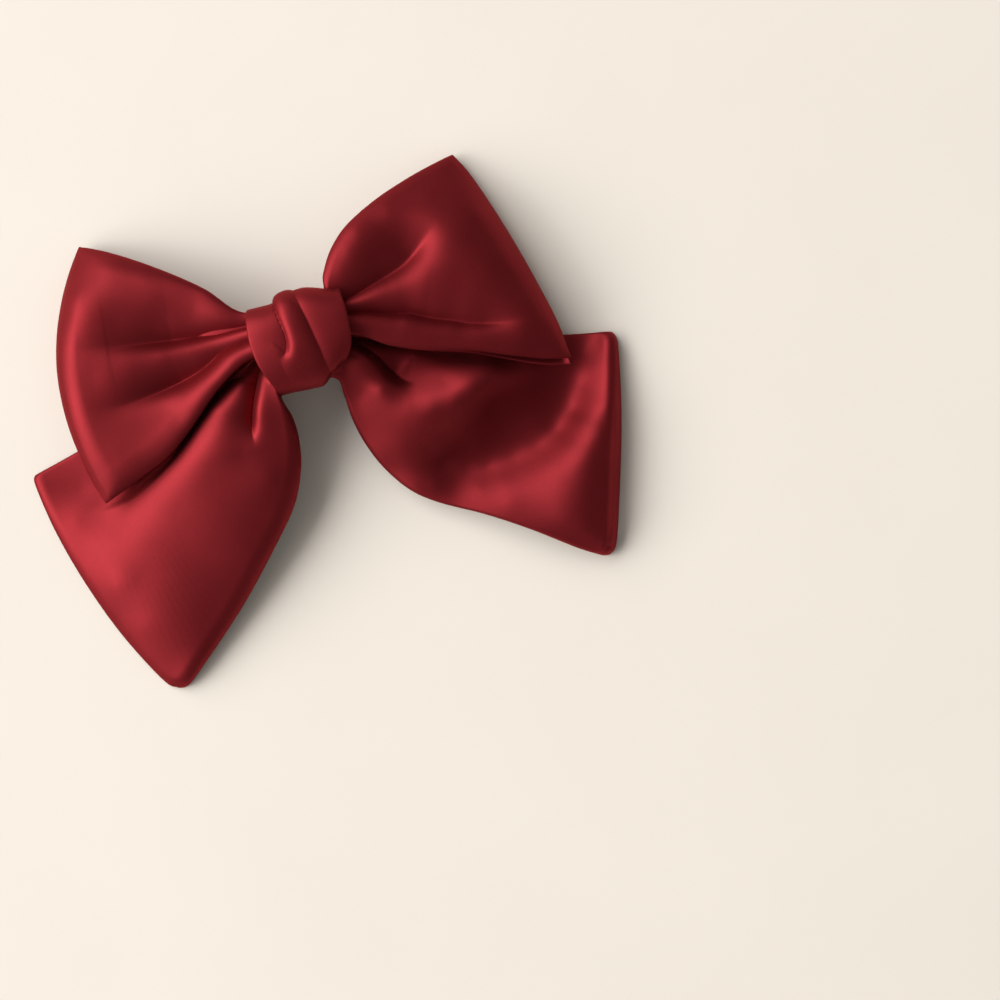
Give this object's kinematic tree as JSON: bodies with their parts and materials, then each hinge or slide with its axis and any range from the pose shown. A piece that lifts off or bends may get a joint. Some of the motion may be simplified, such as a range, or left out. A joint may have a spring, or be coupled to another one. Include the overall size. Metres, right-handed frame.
{
  "type": "hair bow",
  "caption": "Layered satin hair bow with two loops, two pointed tails and a folded knot, on a hinged French barrette clip with a sprung catch.",
  "frame": {"origin": "the middle of the hair gap of the closed clip, between the tension leaf and the clasp arm", "axes": "+X along the clip towards the catch end and the longer right tail, +Y to the top of the bow as it is worn, +Z out of the hair through the face of the knot"},
  "size_m": [0.1805, 0.136, 0.0317],
  "materials": {
    "satin": "deep red polyester satin, soft sheen",
    "thread": "dark red sewing thread",
    "clip_steel": "nickel-plated stamped steel",
    "spring_steel": "bare spring steel"
  },
  "bodies": {
    "bow": {"loop_left": "satin", "loop_right": "satin", "tail_left": "satin", "tail_right": "satin", "knot_wrap": "satin", "gather_thread": "thread", "knot_stitches": "thread", "barrette_plate": "clip_steel", "hinge_pin": "spring_steel", "catch_base": "spring_steel", "catch_rivet": "clip_steel"},
    "clasp": {"clasp_arm": "clip_steel"},
    "leaf": {"tension_leaf": "spring_steel"},
    "prong_upper": {"catch_prong_upper": "spring_steel"},
    "prong_lower": {"catch_prong_lower": "spring_steel"}
  },
  "joints": [
    {"name": "clasp_hinge", "type": "hinge", "parent": "bow", "child": "clasp", "pos_m": [-0.033, 0, -0.00342], "axis": [0, 1, 0], "range_deg": [0, 75]},
    {"name": "leaf_flex", "type": "hinge", "parent": "bow", "child": "leaf", "pos_m": [-0.028, 0, 0.0035], "axis": [0, -1, 0], "range_deg": [0, 1.1], "stiffness_Nm_per_rad": 1},
    {"name": "prong_upper_squeeze", "type": "hinge", "parent": "bow", "child": "prong_upper", "pos_m": [0.033, 0.0018, 0.0018], "axis": [-1, 0, 0], "range_deg": [0, 8], "stiffness_Nm_per_rad": 0.05},
    {"name": "prong_lower_squeeze", "type": "hinge", "parent": "bow", "child": "prong_lower", "pos_m": [0.033, -0.0018, 0.0018], "axis": [1, 0, 0], "range_deg": [0, 8], "stiffness_Nm_per_rad": 0.05}
  ]
}
